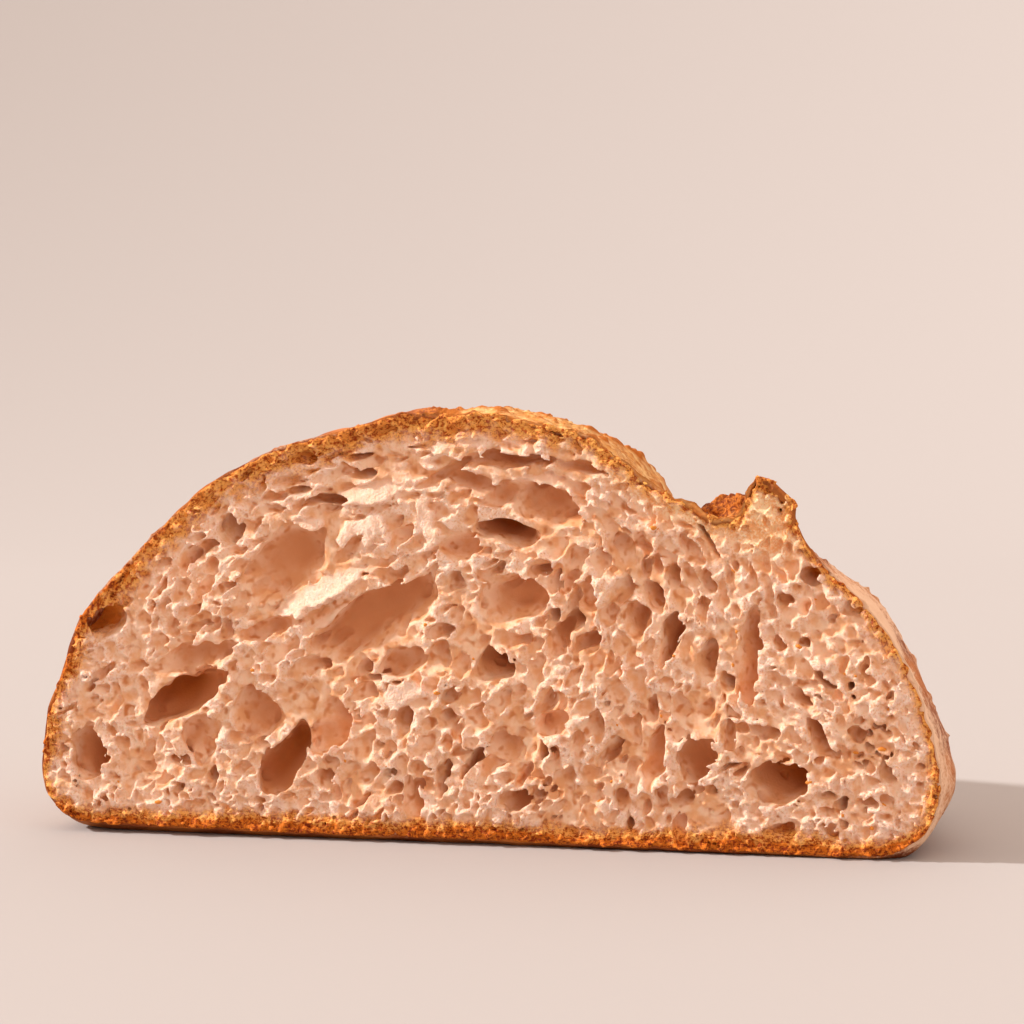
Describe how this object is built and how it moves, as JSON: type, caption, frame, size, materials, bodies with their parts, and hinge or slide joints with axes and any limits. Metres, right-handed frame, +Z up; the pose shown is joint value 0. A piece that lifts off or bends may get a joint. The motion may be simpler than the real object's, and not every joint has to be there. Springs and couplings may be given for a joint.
{
  "type": "sourdough loaf half",
  "caption": "Half of a round sourdough loaf standing on its base, with an open crumb on the flat cut face and a lifted ear along the score.",
  "frame": {"origin": "on the table under the middle of the loaf's bounding box", "axes": "+Z up, cut face towards -Y, +X towards the ear's side"},
  "size_m": [0.2382, 0.126, 0.1095],
  "materials": {
    "crust": "dry baked crust, rough and lightly floured",
    "crumb": "soft cream crumb, matt, with smooth pocket walls"
  },
  "bodies": {
    "root": {"half_loaf": "crust"}
  },
  "joints": []
}
